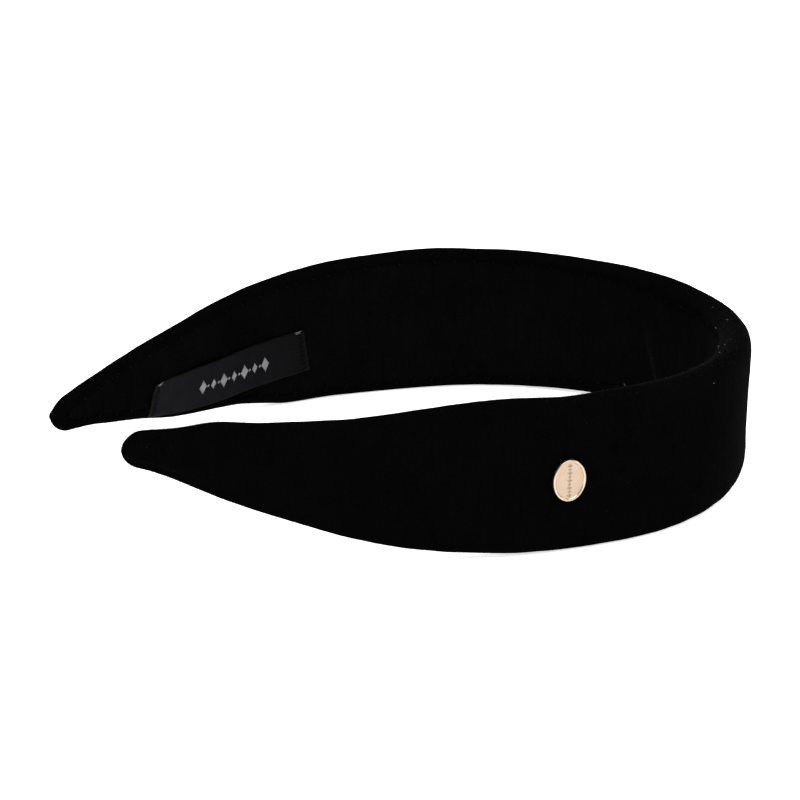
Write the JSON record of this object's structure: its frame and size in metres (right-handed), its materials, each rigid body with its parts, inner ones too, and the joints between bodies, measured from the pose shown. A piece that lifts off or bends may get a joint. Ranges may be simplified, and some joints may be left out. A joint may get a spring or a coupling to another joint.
{
  "type": "headband",
  "caption": "Wide padded velvet headband: a springy hoop with tapered arms, a lined head side, a woven label and a small oval metal plaque.",
  "frame": {"origin": "middle of the plan's bounding box, on the surface that the lower long edge stands on", "axes": "+X towards the middle of the crown, the two tips towards -X, +Z along the band's width; the plaque arm is on -Y and the label arm on +Y"},
  "size_m": [0.167, 0.1274, 0.0376],
  "materials": {
    "cover_velvet": "short dense black velvet pile",
    "lining_velvet": "short black velvet, a little flatter than the cover",
    "foam": "grey open-cell foam sheet",
    "core_plastic": "matte",
    "thread": "black polyester sewing thread",
    "label_satin": "black satin-woven ribbon with a pale woven pattern",
    "plaque_gold": "pale champagne-gold plating, polished rim",
    "washer_steel": "plain"
  },
  "bodies": {
    "crown": {"hoop_core_crown": "core_plastic", "foam_pad_crown": "foam", "outer_cover_crown": "cover_velvet", "lining_crown": "lining_velvet", "edge_stitch_upper_crown": "thread", "edge_stitch_lower_crown": "thread"},
    "plaque_arm": {"hoop_core_plaque_arm": "core_plastic", "foam_pad_plaque_arm": "foam", "outer_cover_plaque_arm": "cover_velvet", "lining_plaque_arm": "lining_velvet", "edge_stitch_upper_plaque_arm": "thread", "edge_stitch_lower_plaque_arm": "thread", "gold_plaque": "plaque_gold", "plaque_washer": "washer_steel"},
    "label_arm": {"hoop_core_label_arm": "core_plastic", "foam_pad_label_arm": "foam", "outer_cover_label_arm": "cover_velvet", "lining_label_arm": "lining_velvet", "edge_stitch_upper_label_arm": "thread", "edge_stitch_lower_label_arm": "thread", "woven_label": "label_satin", "label_tack_tip_end": "thread", "label_tack_crown_end": "thread"}
  },
  "joints": [
    {"name": "plaque_arm_flex", "type": "hinge", "parent": "crown", "child": "plaque_arm", "pos_m": [0.06071, -0.04203, 0.0186], "axis": [0, 0, 1], "range_deg": [-8, 14], "stiffness_Nm_per_rad": 0.8},
    {"name": "label_arm_flex", "type": "hinge", "parent": "crown", "child": "label_arm", "pos_m": [0.06071, 0.04349, 0.0186], "axis": [0, 0, -1], "range_deg": [-8, 14], "stiffness_Nm_per_rad": 0.8}
  ]
}
